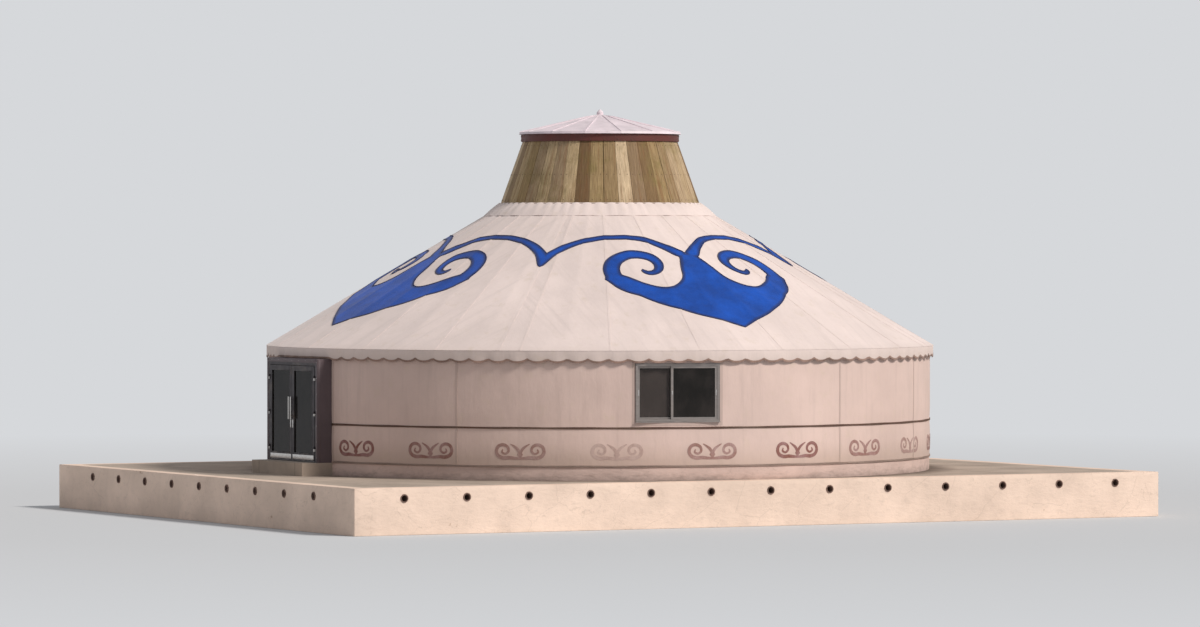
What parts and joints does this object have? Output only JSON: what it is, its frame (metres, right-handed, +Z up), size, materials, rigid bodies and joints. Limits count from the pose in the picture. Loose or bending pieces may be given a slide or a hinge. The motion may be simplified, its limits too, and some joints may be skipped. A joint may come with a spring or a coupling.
{
  "type": "yurt",
  "caption": "Large round felt tent on a whitewashed masonry platform, with a low wall, conical roof, boarded lantern, glazed double door and side windows",
  "frame": {"origin": "centre of the platform's underside", "axes": "+Z up, the door faces -Y, the windows are on the +X and -X sides"},
  "size_m": [12.65, 16.05, 7.34],
  "materials": {
    "masonry": "whitewashed masonry",
    "core_fill": "rammed earth and rubble",
    "screed": "trowelled cement",
    "pipe_clay": "fired clay",
    "floor_wood": "worn boards",
    "wall_cover": "canvas over felt",
    "roof_cover": "canvas over felt",
    "trim_cloth": "woven tape",
    "poles_wood": "painted wood",
    "crown_wood": "painted wood",
    "lantern_wood": "weathered boards",
    "ring_metal": "matt paint",
    "cap_metal": "painted sheet",
    "surround_metal": "painted sheet",
    "door_metal": "dark anodised",
    "window_metal": "natural anodised",
    "handle_steel": "brushed",
    "glass": "tinted clear"
  },
  "bodies": {
    "yurt": {"platform_wall_front": "masonry", "platform_wall_back": "masonry", "platform_wall_left": "masonry", "platform_wall_right": "masonry", "base_curb": "masonry", "platform_fill": "core_fill", "platform_slab": "screed", "drain_pipes": "pipe_clay", "floor": "floor_wood", "door_sill": "screed", "wall_beside_door": "wall_cover", "wall_front": "wall_cover", "wall_under_windows": "wall_cover", "wall_over_windows": "wall_cover", "wall_side": "wall_cover", "wall_quarter": "wall_cover", "wall_rear": "wall_cover", "wall_back": "wall_cover", "wall_over_door": "wall_cover", "wall_belts": "trim_cloth", "door_surround": "surround_metal", "door_frame": "door_metal", "door_hinges": "handle_steel", "window_frames": "window_metal", "window_sashes": "window_metal", "window_glass": "glass", "wall_top_ring": "crown_wood", "roof_poles": "poles_wood", "crown_ring": "crown_wood", "roof_cover_front": "roof_cover", "roof_cover_right": "roof_cover", "roof_cover_back": "roof_cover", "roof_cover_left": "roof_cover", "valance": "trim_cloth", "roof_collar": "roof_cover", "lantern_wall": "lantern_wood", "lantern_ring": "ring_metal", "lantern_cap": "cap_metal", "cap_knob": "cap_metal"},
    "leaf_left": {"door_leaf_left": "door_metal", "door_glass_left": "glass", "door_handle_left": "handle_steel"},
    "leaf_right": {"door_leaf_right": "door_metal", "door_glass_right": "glass", "door_handle_right": "handle_steel"}
  },
  "joints": [
    {"name": "leaf_right_swing", "type": "hinge", "parent": "yurt", "child": "leaf_right", "pos_m": [0.93, -6.215, 1.9], "axis": [0, 0, 1], "range_deg": [0, 95]},
    {"name": "leaf_left_swing", "type": "hinge", "parent": "yurt", "child": "leaf_left", "pos_m": [-0.93, -6.215, 1.9], "axis": [0, 0, -1], "range_deg": [0, 95]}
  ]
}
